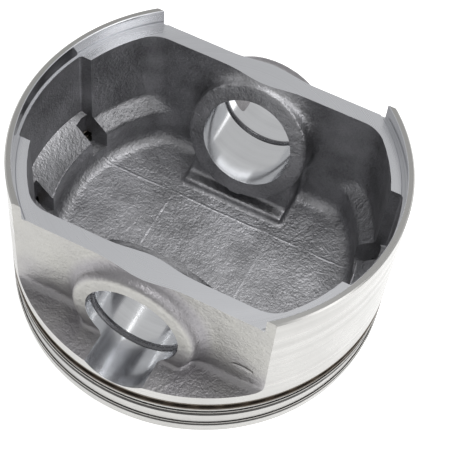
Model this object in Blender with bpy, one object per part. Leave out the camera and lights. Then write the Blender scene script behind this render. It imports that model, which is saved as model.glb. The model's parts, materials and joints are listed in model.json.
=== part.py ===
"""Four-stroke motorcycle piston with its piston rings and pin circlips, standing on its crown.

Frame: metres, +Z up towards the open end of the skirt, the gudgeon pin axis along Y and the thrust
faces of the skirt on +X and -X. The origin is the centre of the crown's flat face.
"""
import math

import bmesh
import bpy
from mathutils import Matrix, Vector

MM = 0.001

# Facets. Multiples of four, so that a quarter turn brings a round piece back onto itself.
TURNED_SEGMENTS = 96
BORE_SEGMENTS = 48
CORNER_SEGMENTS = 6
FILLET_STEPS = 4
WIRE_SIDES = 8
DRAIN_SEGMENTS = 12
ARC_STEPS = 6

# The turned outside. Every radius is worked out from the cylinder that the piston runs in.
CYLINDER_BORE = 80.0 * MM
SKIRT_CLEARANCE = 0.03 * MM
LAND_CLEARANCE = 0.34 * MM
PISTON_HEIGHT = 40.7 * MM
CROWN_EDGE_CHAMFER = 0.5 * MM
SKIRT_LEAD_IN = 0.3 * MM

# Ring grooves, measured from the crown face. A groove's width is its ring's plus the side play.
TOP_GROOVE_FROM_CROWN = 2.95 * MM
SECOND_GROOVE_FROM_CROWN = 7.3 * MM
OIL_GROOVE_FROM_CROWN = 9.95 * MM
TOP_RING_THICKNESS = 1.1 * MM
SECOND_RING_THICKNESS = 1.4 * MM
OIL_RAIL_THICKNESS = 0.45 * MM
OIL_EXPANDER_HEIGHT = 1.4 * MM
RING_SIDE_PLAY = 0.05 * MM
RING_RADIAL_WIDTH = 3.2 * MM
OIL_RAIL_RADIAL_WIDTH = 2.6 * MM
RING_BACK_CLEARANCE = 0.55 * MM
RING_END_GAP = 0.35 * MM

# The expander is a crimped strip behind the edges of the two rails.
EXPANDER_WAVES = 48
EXPANDER_SHEET = 0.4 * MM
EXPANDER_WAVE_DEPTH = 1.3 * MM
EXPANDER_SET_BACK = 0.7 * MM

# The skirt and the two flat walls that carry the pin bosses.
BELT_SHOULDER_FROM_CROWN = 15.1 * MM
SHOULDER_FILLET = 1.6 * MM
FLAT_WALL_ACROSS = 57.8 * MM
FLAT_WALL_THICKNESS = 3.6 * MM
SKIRT_WALL = 4.1 * MM
REGISTER_DEPTH = 3.7 * MM
REGISTER_LIP = 1.35 * MM

# The hollow inside.
CROWN_THICKNESS = 6.5 * MM
BELT_WALL = 3.6 * MM
FLOOR_FILLET = 3.0 * MM
CAVITY_CORNER_RADIUS = 6.5 * MM
BELT_STEP_FROM_FLOOR = 8.0 * MM
BELT_STEP_RISE = 3.6 * MM
BELT_STEP_AT_WALLS = 0.8 * MM
POCKET_WIDTH = 24.2 * MM
POCKET_WALL = 1.65 * MM
POCKET_FLOOR_FROM_CROWN = 13.4 * MM
POCKET_FLOOR_SLOPE = 1.6 * MM
POCKET_CORNER_RADIUS = 0.8 * MM

# The pin bosses.
PIN_DIAMETER = 20.0 * MM
PIN_FROM_CROWN = 23.0 * MM
BOSS_WALL = 3.5 * MM
BOSS_OUTER_ACROSS = 64.6 * MM
BOSS_INNER_ACROSS = 38.0 * MM
BOSS_INNER_DRAFT = 0.284
BOSS_EDGE_RADIUS = 1.0 * MM
BOSS_ROOT_FILLET = 3.4 * MM
BOSS_ROOT_LENGTH = 0.6 * BOSS_ROOT_FILLET
BOSS_ROOT_MIDDLE = (0.35 * BOSS_ROOT_FILLET, 0.2 * BOSS_ROOT_FILLET)
BOSS_ROOT_INSIDE_WALL = 0.1 * MM
BOSS_EDGE_MIDDLE = 0.3 * BOSS_EDGE_RADIUS
BOSS_INNER_WEB_SET_BACK = 2.2 * MM
BOSS_WEB_SET_BACK = 1.4 * MM
BOSS_WEB_HALF_WIDTH = 11.8 * MM
TROUGH_STEP = 0.15 * MM

# The wire circlips that hold the pin, and their grooves.
CIRCLIP_WIRE = 1.2 * MM
CIRCLIP_SIDE_PLAY = 0.06 * MM
CIRCLIP_GROOVE_DEPTH = 0.85 * MM
CIRCLIP_RUNNING_GAP = 0.1 * MM
CIRCLIP_GROOVE_ACROSS = 59.0 * MM
CIRCLIP_OPENING = 7.0 * MM

# Oil drains, from the back of the oil groove into the hollow.
DRAIN_DIAMETER = 1.9 * MM
DRAIN_ANGLES = (17.0, 163.0, 197.0, 343.0)

# Where each ring's gap stands when the rings are fitted, spread so that no two line up.
TOP_RING_GAP_ANGLE = 45.0
SECOND_RING_GAP_ANGLE = 165.0
UPPER_RAIL_GAP_ANGLE = 75.0
EXPANDER_GAP_ANGLE = 105.0
LOWER_RAIL_GAP_ANGLE = 135.0

# Sizes that follow from the ones above.
BORE_RADIUS = CYLINDER_BORE / 2
SKIRT_RADIUS = BORE_RADIUS - SKIRT_CLEARANCE
LAND_RADIUS = BORE_RADIUS - LAND_CLEARANCE
GROOVE_ROOT_RADIUS = BORE_RADIUS - RING_RADIAL_WIDTH - RING_BACK_CLEARANCE
TOP_GROOVE_WIDTH = TOP_RING_THICKNESS + 2 * RING_SIDE_PLAY
SECOND_GROOVE_WIDTH = SECOND_RING_THICKNESS + 2 * RING_SIDE_PLAY
OIL_GROOVE_WIDTH = 2 * OIL_RAIL_THICKNESS + OIL_EXPANDER_HEIGHT + 4 * RING_SIDE_PLAY
REGISTER_HEIGHT = PISTON_HEIGHT - REGISTER_DEPTH
REGISTER_RADIUS = SKIRT_RADIUS - REGISTER_LIP
FLAT_OUTER = FLAT_WALL_ACROSS / 2
FLAT_INNER = FLAT_OUTER - FLAT_WALL_THICKNESS
CAVITY_RADIUS = SKIRT_RADIUS - SKIRT_WALL
BELT_CAVITY_RADIUS = GROOVE_ROOT_RADIUS - BELT_WALL
POCKET_RADIUS = SKIRT_RADIUS - POCKET_WALL
PIN_BORE_RADIUS = PIN_DIAMETER / 2
BOSS_RADIUS = PIN_BORE_RADIUS + BOSS_WALL
BOSS_FACE = BOSS_OUTER_ACROSS / 2
BOSS_INNER_FACE = BOSS_INNER_ACROSS / 2
CIRCLIP_GROOVE_RADIUS = PIN_BORE_RADIUS + CIRCLIP_GROOVE_DEPTH
CIRCLIP_GROOVE_WIDTH = CIRCLIP_WIRE + 2 * CIRCLIP_SIDE_PLAY
CIRCLIP_PLACE = CIRCLIP_GROOVE_ACROSS / 2
CUT_PAST = 5.0 * MM


def clear_scene():
    """Start from an empty scene."""
    for obj in list(bpy.data.objects):
        bpy.data.objects.remove(obj, do_unlink=True)


def make_material(name, colour, metallic, roughness):
    """A plain Principled material."""
    material = bpy.data.materials.new(name)
    material.use_nodes = True
    shader = material.node_tree.nodes["Principled BSDF"]
    shader.inputs["Base Color"].default_value = (*colour, 1.0)
    shader.inputs["Metallic"].default_value = metallic
    shader.inputs["Roughness"].default_value = roughness
    return material


def object_from_bmesh(name, bm):
    """Close a bmesh into an object whose faces point outwards."""
    bmesh.ops.remove_doubles(bm, verts=bm.verts, dist=0.001 * MM)
    bmesh.ops.recalc_face_normals(bm, faces=bm.faces)
    mesh = bpy.data.meshes.new(name)
    bm.to_mesh(mesh)
    bm.free()
    obj = bpy.data.objects.new(name, mesh)
    bpy.context.collection.objects.link(obj)
    return obj


def as_cutter(obj):
    """Mark an object as a tool for a Boolean, not a piece of the piston."""
    obj.hide_render = True
    obj.display_type = "WIRE"
    return obj


def combine(target, tool, operation):
    """Cut, join or intersect a target with a tool."""
    modifier = target.modifiers.new(f"{operation.lower()}_{tool.name}", "BOOLEAN")
    modifier.operation = operation
    modifier.solver = "EXACT"
    modifier.object = as_cutter(tool)


def finish_piece(obj, material):
    """Give a piece its material and smooth shading between its sharp edges."""
    obj.data.materials.clear()
    obj.data.materials.append(material)
    obj.data.shade_smooth()
    obj.data.set_sharp_from_angle(angle=math.radians(30))
    return obj


def revolve(name, profile, segments, axis="Z"):
    """A solid of revolution about Z or Y from a closed (radius, height) profile."""
    bm = bmesh.new()
    rings = []
    for index in range(segments):
        angle = 2 * math.pi * index / segments
        side, front = math.cos(angle), math.sin(angle)
        rings.append([bm.verts.new((r * side, r * front, h)) for r, h in profile])
    count = len(profile)
    for index, ring in enumerate(rings):
        following = rings[(index + 1) % segments]
        for point in range(count):
            after = (point + 1) % count
            if profile[point][0] == 0 and profile[after][0] == 0:
                continue
            bm.faces.new((ring[point], following[point], following[after], ring[after]))
    if axis == "Y":
        bmesh.ops.transform(bm, matrix=Matrix.Rotation(-math.pi / 2, 4, "X"), verts=bm.verts)
    return object_from_bmesh(name, bm)


def prism_along_x(name, outline, half_length):
    """A solid with a (y, z) outline, extruded along X to both sides."""
    bm = bmesh.new()
    base = [bm.verts.new((-half_length, y, z)) for y, z in outline]
    face = bm.faces.new(base)
    grown = bmesh.ops.extrude_face_region(bm, geom=[face])
    moved = [item for item in grown["geom"] if isinstance(item, bmesh.types.BMVert)]
    bmesh.ops.translate(bm, vec=(2 * half_length, 0, 0), verts=moved)
    return object_from_bmesh(name, bm)


def loft(name, sections):
    """A solid through (height, outline) sections whose outlines have the same number of points."""
    bm = bmesh.new()
    loops = [[bm.verts.new((x, y, z)) for x, y in outline] for z, outline in sections]
    for lower, upper in zip(loops, loops[1:]):
        for index in range(len(lower)):
            after = (index + 1) % len(lower)
            bm.faces.new((lower[index], lower[after], upper[after], upper[index]))
    bm.faces.new(loops[0])
    bm.faces.new(loops[-1])
    return object_from_bmesh(name, bm)


def arc(centre, radius, start, end, steps):
    """Points along an arc, with both of its ends."""
    points = []
    for index in range(steps + 1):
        angle = start + (end - start) * index / steps
        points.append((centre[0] + radius * math.cos(angle), centre[1] + radius * math.sin(angle)))
    return points


def barrel_outline(radius, half_width, corner, arc_steps):
    """A circle with two flats across Y, its corners rounded: the plan view of the hollow."""
    corner_y = half_width - corner
    corner_x = math.sqrt((radius - corner) ** 2 - corner_y ** 2)
    corner_start = math.atan2(corner_y, corner_x)
    quarter = arc((0, 0), radius, 0, corner_start, arc_steps)[:-1]
    quarter += arc((corner_x, corner_y), corner, corner_start, math.pi / 2, CORNER_SEGMENTS)
    points = list(quarter)
    points += [(-x, y) for x, y in reversed(quarter)][:-1]
    points += [(-x, -y) for x, y in quarter]
    points += [(x, -y) for x, y in reversed(quarter)][:-1]
    return points


def envelope():
    """The turned outside of the piston as one solid: crown, ring grooves and skirt."""
    profile = [
        (0, 0),
        (LAND_RADIUS - CROWN_EDGE_CHAMFER, 0),
        (LAND_RADIUS, CROWN_EDGE_CHAMFER),
    ]
    grooves = (
        (TOP_GROOVE_FROM_CROWN, TOP_GROOVE_WIDTH, LAND_RADIUS),
        (SECOND_GROOVE_FROM_CROWN, SECOND_GROOVE_WIDTH, LAND_RADIUS),
        (OIL_GROOVE_FROM_CROWN, OIL_GROOVE_WIDTH, SKIRT_RADIUS),
    )
    for start, width, radius_after in grooves:
        profile += [
            (LAND_RADIUS, start),
            (GROOVE_ROOT_RADIUS, start),
            (GROOVE_ROOT_RADIUS, start + width),
            (radius_after, start + width),
        ]
    profile += [
        (SKIRT_RADIUS, PISTON_HEIGHT - SKIRT_LEAD_IN),
        (SKIRT_RADIUS - SKIRT_LEAD_IN, PISTON_HEIGHT),
        (0, PISTON_HEIGHT),
    ]
    return revolve("piston_casting", profile, TURNED_SEGMENTS)


def wall_core():
    """Belt and flat walls in section along X: it leaves the shoulders beside the walls."""
    shoulder = arc(
        (FLAT_OUTER + SHOULDER_FILLET, BELT_SHOULDER_FROM_CROWN + SHOULDER_FILLET),
        SHOULDER_FILLET,
        math.pi,
        1.5 * math.pi,
        FILLET_STEPS,
    )
    top = PISTON_HEIGHT + CUT_PAST
    side = SKIRT_RADIUS + CUT_PAST
    half = [(FLAT_OUTER, top), *shoulder, (side, BELT_SHOULDER_FROM_CROWN), (side, -CUT_PAST)]
    outline = half + [(-y, z) for y, z in reversed(half)]
    return prism_along_x("wall_core", outline, SKIRT_RADIUS + CUT_PAST)


def boss_solid(name, sign, inner_reach, outer_reach):
    """One pin boss about the pin axis, flared where it meets the wall on both sides."""
    flared = BOSS_RADIUS + BOSS_ROOT_FILLET
    middle, step = BOSS_RADIUS + BOSS_ROOT_MIDDLE[0], BOSS_ROOT_MIDDLE[1]
    profile = [
        (0, inner_reach),
        (BOSS_RADIUS, inner_reach),
        (BOSS_RADIUS, FLAT_INNER - BOSS_ROOT_LENGTH),
        (middle, FLAT_INNER - step),
        (flared, FLAT_INNER + BOSS_ROOT_INSIDE_WALL),
        (flared, FLAT_OUTER - BOSS_ROOT_INSIDE_WALL),
        (middle, FLAT_OUTER + step),
        (BOSS_RADIUS, FLAT_OUTER + BOSS_ROOT_LENGTH),
        (BOSS_RADIUS, outer_reach - BOSS_EDGE_RADIUS),
        (BOSS_RADIUS - BOSS_EDGE_MIDDLE, outer_reach - BOSS_EDGE_MIDDLE),
        (BOSS_RADIUS - BOSS_EDGE_RADIUS, outer_reach),
        (0, outer_reach),
    ]
    boss = revolve(name, [(r, sign * y) for r, y in profile], BORE_SEGMENTS, axis="Y")
    boss.location.z = PIN_FROM_CROWN
    return boss


def boss_web(name, sign, inner_reach, outer_reach, foot):
    """The block of metal that carries a boss down to the crown or to the shoulder."""
    bm = bmesh.new()
    bmesh.ops.create_cube(bm, size=1.0)
    depth = outer_reach - inner_reach
    height = PIN_FROM_CROWN - foot
    middle = (0, sign * (inner_reach + depth / 2), foot + height / 2)
    scale = Matrix.Diagonal((2 * BOSS_WEB_HALF_WIDTH, depth, height, 1))
    bmesh.ops.transform(bm, matrix=Matrix.Translation(middle) @ scale, verts=bm.verts)
    return object_from_bmesh(name, bm)


def add_outer_bosses(core):
    """Join both bosses and the webs under them to the core."""
    for side, sign in (("right", 1), ("left", -1)):
        combine(core, boss_solid(f"boss_outside_{side}", sign, FLAT_INNER, BOSS_FACE), "UNION")
        reach = BOSS_FACE - BOSS_WEB_SET_BACK
        foot = BELT_SHOULDER_FROM_CROWN - CUT_PAST
        combine(core, boss_web(f"web_outside_{side}", sign, FLAT_INNER, reach, foot), "UNION")


def cavity_sections():
    """Heights and outlines of the hollow, from its floor to past the open end."""
    belt_half = FLAT_INNER - BELT_STEP_AT_WALLS
    sections = []
    for index in range(FILLET_STEPS + 1):
        angle = math.pi / 2 * index / FILLET_STEPS
        inset = FLOOR_FILLET * (1 - math.sin(angle))
        height = CROWN_THICKNESS + FLOOR_FILLET * (1 - math.cos(angle))
        corner = CAVITY_CORNER_RADIUS - inset / 2
        outline = barrel_outline(BELT_CAVITY_RADIUS - inset, belt_half - inset, corner, ARC_STEPS)
        sections.append((height, outline))
    step_low = CROWN_THICKNESS + BELT_STEP_FROM_FLOOR
    belt = barrel_outline(BELT_CAVITY_RADIUS, belt_half, CAVITY_CORNER_RADIUS, ARC_STEPS)
    wide = barrel_outline(CAVITY_RADIUS, FLAT_INNER, CAVITY_CORNER_RADIUS, ARC_STEPS)
    sections.append((step_low, belt))
    sections.append((step_low + BELT_STEP_RISE, wide))
    sections.append((PISTON_HEIGHT + CUT_PAST, wide))
    return sections


def pocket_solid():
    """The two thinned pockets behind the thrust faces, as one bar across the hollow."""
    corner = POCKET_CORNER_RADIUS
    half = POCKET_WIDTH / 2
    foot = barrel_outline(POCKET_RADIUS - POCKET_FLOOR_SLOPE, half, corner, CORNER_SEGMENTS)
    full = barrel_outline(POCKET_RADIUS, half, corner, CORNER_SEGMENTS)
    sections = [
        (POCKET_FLOOR_FROM_CROWN, foot),
        (POCKET_FLOOR_FROM_CROWN + POCKET_FLOOR_SLOPE, full),
        (PISTON_HEIGHT + CUT_PAST, full),
    ]
    return loft("pockets", sections)


def boss_gap_prism(set_back):
    """The wedge-shaped space between the two bosses' drafted inner faces, or behind them."""
    low, high = CROWN_THICKNESS - 2 * CUT_PAST, PISTON_HEIGHT + CUT_PAST
    face = BOSS_INNER_FACE + set_back
    low_half = face + BOSS_INNER_DRAFT * (low - PIN_FROM_CROWN)
    high_half = face + BOSS_INNER_DRAFT * (high - PIN_FROM_CROWN)
    outline = [(-low_half, low), (low_half, low), (high_half, high), (-high_half, high)]
    return prism_along_x("boss_gap", outline, BOSS_RADIUS + BOSS_ROOT_FILLET + CUT_PAST)


def cavity_solid():
    """The hollow as one solid: the lofted space and its pockets, less the two inner bosses."""
    cavity = loft("cavity", cavity_sections())
    inner_reach = BOSS_INNER_FACE - BOSS_INNER_DRAFT * PIN_FROM_CROWN
    foot = CROWN_THICKNESS - CUT_PAST
    for side, sign in (("right", 1), ("left", -1)):
        boss = boss_solid(f"boss_inside_{side}", sign, inner_reach, BOSS_FACE)
        web = boss_web(f"web_inside_{side}", sign, inner_reach, FLAT_OUTER, foot)
        combine(boss, boss_gap_prism(0), "DIFFERENCE")
        combine(web, boss_gap_prism(BOSS_INNER_WEB_SET_BACK), "DIFFERENCE")
        combine(boss, web, "UNION")
        combine(cavity, boss, "DIFFERENCE")
    combine(cavity, pocket_solid(), "UNION")
    return cavity


def pin_bore_solid():
    """The pin bore through both bosses, its circlip grooves and the troughs outside them."""
    half_groove = CIRCLIP_GROOVE_WIDTH / 2
    trough = PIN_BORE_RADIUS + TROUGH_STEP
    half = [
        (PIN_BORE_RADIUS, CIRCLIP_PLACE - half_groove),
        (CIRCLIP_GROOVE_RADIUS, CIRCLIP_PLACE - half_groove),
        (CIRCLIP_GROOVE_RADIUS, CIRCLIP_PLACE + half_groove),
        (trough, CIRCLIP_PLACE + half_groove),
        (trough, SKIRT_RADIUS + CUT_PAST),
        (0, SKIRT_RADIUS + CUT_PAST),
    ]
    profile = [(r, -y) for r, y in reversed(half)] + half
    bore = revolve("pin_bore", profile, BORE_SEGMENTS, axis="Y")
    bore.location.z = PIN_FROM_CROWN
    return bore


def register_solid():
    """The turned recess inside the skirt's rim, down to the flat register face."""
    top = PISTON_HEIGHT + CUT_PAST
    profile = [
        (0, REGISTER_HEIGHT),
        (REGISTER_RADIUS, REGISTER_HEIGHT),
        (REGISTER_RADIUS, top),
        (0, top),
    ]
    return revolve("register", profile, TURNED_SEGMENTS)


def drain_solids():
    """The oil drains as one tool of separate radial cylinders."""
    bm = bmesh.new()
    inner = BELT_CAVITY_RADIUS - FLOOR_FILLET
    length = GROOVE_ROOT_RADIUS + RING_BACK_CLEARANCE - inner
    height = OIL_GROOVE_FROM_CROWN + OIL_GROOVE_WIDTH / 2
    for angle in DRAIN_ANGLES:
        turn = Matrix.Rotation(math.radians(angle), 4, "Z")
        place = Matrix.Translation((inner + length / 2, 0, height))
        lay = Matrix.Rotation(math.pi / 2, 4, "Y")
        bmesh.ops.create_cone(
            bm,
            cap_ends=True,
            segments=DRAIN_SEGMENTS,
            radius1=DRAIN_DIAMETER / 2,
            radius2=DRAIN_DIAMETER / 2,
            depth=length,
            matrix=turn @ place @ lay,
        )
    return object_from_bmesh("drains", bm)


def build_casting(material):
    """The piston itself: one casting, turned outside, bored for the pin."""
    casting = envelope()
    core = wall_core()
    add_outer_bosses(core)
    combine(casting, core, "INTERSECT")
    combine(casting, cavity_solid(), "DIFFERENCE")
    combine(casting, register_solid(), "DIFFERENCE")
    combine(casting, pin_bore_solid(), "DIFFERENCE")
    combine(casting, drain_solids(), "DIFFERENCE")
    return finish_piece(casting, material)


def sweep_angles(gap_angle, half_gap, segments):
    """Angles round a split ring, from one side of its gap to the other, on whole facets between."""
    step = 2 * math.pi / segments
    start = gap_angle + half_gap
    end = gap_angle + 2 * math.pi - half_gap
    first = math.floor(start / step) + 1
    last = math.ceil(end / step) - 1
    return [start, *(index * step for index in range(first, last + 1)), end]


def swept_ring(name, sections, angles):
    """A split ring through a closed (radius, height) section at each angle, capped at both ends."""
    bm = bmesh.new()
    loops = []
    for section, angle in zip(sections, angles):
        side, front = math.cos(angle), math.sin(angle)
        loops.append([bm.verts.new((r * side, r * front, h)) for r, h in section])
    for first, second in zip(loops, loops[1:]):
        for index in range(len(first)):
            after = (index + 1) % len(first)
            bm.faces.new((first[index], second[index], second[after], first[after]))
    bm.faces.new(loops[0])
    bm.faces.new(loops[-1])
    return object_from_bmesh(name, bm)


def build_flat_ring(name, start, thickness, radial_width, gap_angle, material):
    """A split ring of rectangular section that stands proud of the lands at the bore's radius."""
    inner = BORE_RADIUS - radial_width
    section = [(inner, 0), (BORE_RADIUS, 0), (BORE_RADIUS, thickness), (inner, thickness)]
    half_gap = RING_END_GAP / 2 / BORE_RADIUS
    angles = sweep_angles(math.radians(gap_angle), half_gap, TURNED_SEGMENTS)
    ring = swept_ring(name, [section] * len(angles), angles)
    ring.location.z = start
    return finish_piece(ring, material)


def build_expander(start, material):
    """The crimped strip between the two oil rails, stepping in and out behind their edges."""
    outer = BORE_RADIUS - EXPANDER_SET_BACK
    segments = EXPANDER_WAVES * 4
    half_gap = RING_END_GAP / 2 / BORE_RADIUS
    angles = sweep_angles(math.radians(EXPANDER_GAP_ANGLE), half_gap, segments)
    sections = []
    for angle in angles:
        quarter = math.floor(angle / (2 * math.pi) * segments + 0.5) % 4
        reach = outer if quarter in (0, 1) else outer - EXPANDER_WAVE_DEPTH
        back = reach - EXPANDER_SHEET
        top = OIL_EXPANDER_HEIGHT
        sections.append([(back, 0), (reach, 0), (reach, top), (back, top)])
    expander = swept_ring("oil_ring_expander", sections, angles)
    expander.location.z = start
    return finish_piece(expander, material)


def build_circlip(name, sign, material):
    """A round-wire circlip in its groove, open towards the skirt's rim."""
    outer = CIRCLIP_GROOVE_RADIUS - CIRCLIP_RUNNING_GAP
    centre = outer - CIRCLIP_WIRE / 2
    section = arc((centre, 0), CIRCLIP_WIRE / 2, 0, 2 * math.pi, WIRE_SIDES)[:-1]
    half_gap = CIRCLIP_OPENING / 2 / centre
    angles = sweep_angles(math.pi / 2, half_gap, BORE_SEGMENTS)
    clip = swept_ring(name, [section] * len(angles), angles)
    clip.data.transform(Matrix.Rotation(math.pi / 2, 4, "X"))
    clip.location = Vector((0, sign * CIRCLIP_PLACE, PIN_FROM_CROWN))
    return finish_piece(clip, material)


def build_rings(ring_steel, expander_steel):
    """Both compression rings and the three pieces of the oil ring, bottom face first."""
    play = RING_SIDE_PLAY
    build_flat_ring(
        "top_compression_ring",
        TOP_GROOVE_FROM_CROWN + play,
        TOP_RING_THICKNESS,
        RING_RADIAL_WIDTH,
        TOP_RING_GAP_ANGLE,
        ring_steel,
    )
    build_flat_ring(
        "second_compression_ring",
        SECOND_GROOVE_FROM_CROWN + play,
        SECOND_RING_THICKNESS,
        RING_RADIAL_WIDTH,
        SECOND_RING_GAP_ANGLE,
        ring_steel,
    )
    lower_start = OIL_GROOVE_FROM_CROWN + play
    expander_start = lower_start + OIL_RAIL_THICKNESS + play
    upper_start = expander_start + OIL_EXPANDER_HEIGHT + play
    build_flat_ring(
        "oil_ring_lower_rail",
        lower_start,
        OIL_RAIL_THICKNESS,
        OIL_RAIL_RADIAL_WIDTH,
        LOWER_RAIL_GAP_ANGLE,
        ring_steel,
    )
    build_expander(expander_start, expander_steel)
    build_flat_ring(
        "oil_ring_upper_rail",
        upper_start,
        OIL_RAIL_THICKNESS,
        OIL_RAIL_RADIAL_WIDTH,
        UPPER_RAIL_GAP_ANGLE,
        ring_steel,
    )


def main():
    """Build every piece of the piston."""
    clear_scene()
    aluminium = make_material("cast_aluminium", (0.72, 0.72, 0.72), 1.0, 0.4)
    ring_steel = make_material("dark_ring_steel", (0.06, 0.055, 0.05), 1.0, 0.35)
    expander_steel = make_material("expander_steel", (0.20, 0.17, 0.14), 1.0, 0.4)
    circlip_steel = make_material("circlip_steel", (0.10, 0.10, 0.11), 1.0, 0.3)
    build_casting(aluminium)
    build_rings(ring_steel, expander_steel)
    build_circlip("circlip_right", 1, circlip_steel)
    build_circlip("circlip_left", -1, circlip_steel)


main()
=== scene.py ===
"""The finished surfaces of a short-skirt motorcycle piston, its rings and its pin circlips."""
import json
import logging
import math
from dataclasses import dataclass, field
from enum import Enum

import bmesh
import bpy
from mathutils import Matrix, Vector, noise


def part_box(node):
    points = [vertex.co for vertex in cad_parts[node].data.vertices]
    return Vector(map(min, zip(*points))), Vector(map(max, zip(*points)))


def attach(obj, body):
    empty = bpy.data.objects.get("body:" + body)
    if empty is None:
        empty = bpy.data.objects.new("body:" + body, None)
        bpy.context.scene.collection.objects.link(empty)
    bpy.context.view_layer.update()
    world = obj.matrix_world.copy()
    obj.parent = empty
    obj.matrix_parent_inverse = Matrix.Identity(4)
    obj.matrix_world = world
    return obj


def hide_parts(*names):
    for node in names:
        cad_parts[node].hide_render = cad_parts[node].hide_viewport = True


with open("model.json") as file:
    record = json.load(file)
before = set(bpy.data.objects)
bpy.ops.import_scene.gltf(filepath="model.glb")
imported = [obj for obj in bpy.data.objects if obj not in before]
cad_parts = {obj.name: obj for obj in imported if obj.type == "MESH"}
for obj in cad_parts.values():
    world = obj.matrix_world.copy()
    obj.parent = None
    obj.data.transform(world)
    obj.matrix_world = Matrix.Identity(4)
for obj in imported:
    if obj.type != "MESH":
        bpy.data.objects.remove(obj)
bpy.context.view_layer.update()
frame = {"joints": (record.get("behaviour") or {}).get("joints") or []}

MM = 0.001
WELD = 0.0005 * MM
LOG = logging.getLogger("piston")
Point = tuple[float, float]
Colour = tuple[float, float, float]


class Axis(Enum):
    """The axis that a turned solid goes round."""

    CYLINDER = "Z"
    PIN = "Y"


class Cut(Enum):
    """What a tool does to the solid it is used on."""

    REMOVE = "DIFFERENCE"
    JOIN = "UNION"
    KEEP_INSIDE = "INTERSECT"


# ---------------------------------------------------------------- shader wiring


class Wire:
    """One socket's output in a material, with the arithmetic of ordinary numbers."""

    def __init__(self, graph: "FinishGraph", socket: bpy.types.NodeSocket) -> None:
        """Keep the socket and the graph that it belongs to."""
        self.graph = graph
        self.socket = socket

    def __add__(self, other: "Wire | float") -> "Wire":
        """Sum."""
        return self.graph.maths("ADD", self, other)

    def __radd__(self, other: float) -> "Wire":
        """Sum, reflected."""
        return self.graph.maths("ADD", other, self)

    def __sub__(self, other: "Wire | float") -> "Wire":
        """Difference."""
        return self.graph.maths("SUBTRACT", self, other)

    def __rsub__(self, other: float) -> "Wire":
        """Difference, reflected, so that 1 - mask works."""
        return self.graph.maths("SUBTRACT", other, self)

    def __mul__(self, other: "Wire | float") -> "Wire":
        """Product."""
        return self.graph.maths("MULTIPLY", self, other)

    def __rmul__(self, other: float) -> "Wire":
        """Product, reflected."""
        return self.graph.maths("MULTIPLY", other, self)


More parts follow.
